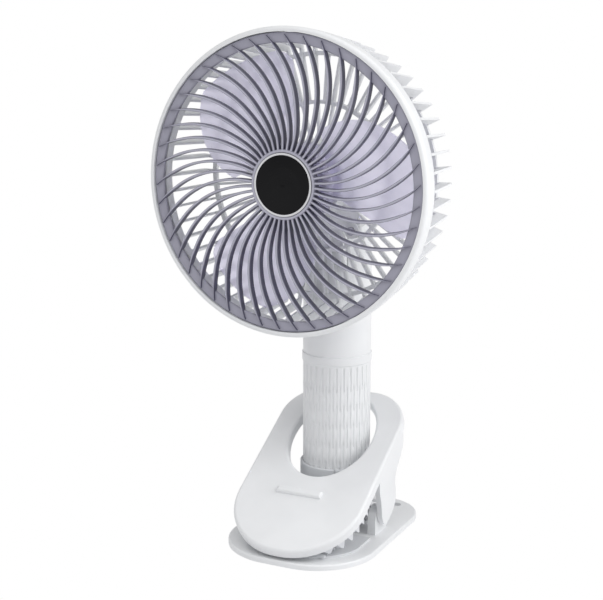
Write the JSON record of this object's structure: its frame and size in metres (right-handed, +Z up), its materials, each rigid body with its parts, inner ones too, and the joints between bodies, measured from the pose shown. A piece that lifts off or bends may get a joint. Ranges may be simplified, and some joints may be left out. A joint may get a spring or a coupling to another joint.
{
  "type": "clip fan",
  "caption": "White battery fan: a round spiral-grille head tilts on the neck of a round handle, which turns in the cup of a sprung clip base",
  "frame": {"origin": "On the handle's axis, on the flat underside of the clip base", "axes": "+Z up the handle, -Y the way the air blows and the clip's mouth points, +X to the right-hand side seen from behind the fan looking along +Y"},
  "size_m": [0.1584, 0.1168, 0.2822],
  "materials": {
    "white_shell": "satin moulded white",
    "cage_white": "satin moulded white",
    "grille_grey": "satin grey-lavender",
    "blade_lilac": "semi-gloss pale lilac",
    "badge_black": "polished black",
    "bright_trim": "bright",
    "grey_rubber": "matt",
    "steel": "bright drawn",
    "cell_wrap": "shrink sleeve",
    "board_green": "solder mask",
    "light_pipe": "clear milky"
  },
  "bodies": {
    "clip_base": {"base_plate": "white_shell", "foot_pad": "grey_rubber", "handle_cup": "white_shell", "hinge_pin": "steel", "lower_pad": "grey_rubber", "torsion_springs": "steel"},
    "upper_jaw": {"lever": "white_shell", "jaw_pad": "grey_rubber"},
    "handle": {"handle_tube": "white_shell", "bottom_cap": "white_shell", "neck_band": "white_shell", "neck_shell": "white_shell", "battery_cell": "cell_wrap", "battery_cradle": "white_shell", "circuit_board": "board_green", "usb_port": "steel", "charge_leds": "light_pipe", "tilt_pin": "steel"},
    "button": {"power_button": "white_shell"},
    "head": {"tilt_arm": "cage_white", "rear_cage": "cage_white", "cage_screws": "steel", "rim_ring": "cage_white", "front_grille": "grille_grey", "badge_ring": "bright_trim", "badge_disc": "badge_black", "motor": "steel"},
    "impeller": {"motor_shaft": "steel", "fan_blades": "blade_lilac"}
  },
  "joints": [
    {"name": "jaw_pivot", "type": "hinge", "parent": "clip_base", "child": "upper_jaw", "pos_m": [0, -0.0145, 0.014], "axis": [-1, 0, 0], "range_deg": [0, 20], "stiffness_Nm_per_rad": 0.6, "springref_deg": -28.65, "deforming": ["torsion_springs"]},
    {"name": "handle_swivel", "type": "hinge", "parent": "clip_base", "child": "handle", "pos_m": [0, 0, 0.0223], "axis": [0, 0, 1], "range_deg": [-180, 180]},
    {"name": "button_press", "type": "slide", "parent": "handle", "child": "button", "axis": [0, -1, 0], "range_m": [0, 0.0005], "stiffness_N_per_m": 400, "springref_m": -0.001},
    {"name": "head_tilt", "type": "hinge", "parent": "handle", "child": "head", "pos_m": [0, 0, 0.157], "axis": [-1, 0, 0], "range_deg": [0, 90]},
    {"name": "impeller_spin", "type": "hinge", "parent": "head", "child": "impeller", "pos_m": [0, -0.05, 0.203], "axis": [0, -1, 0], "continuous": true}
  ]
}
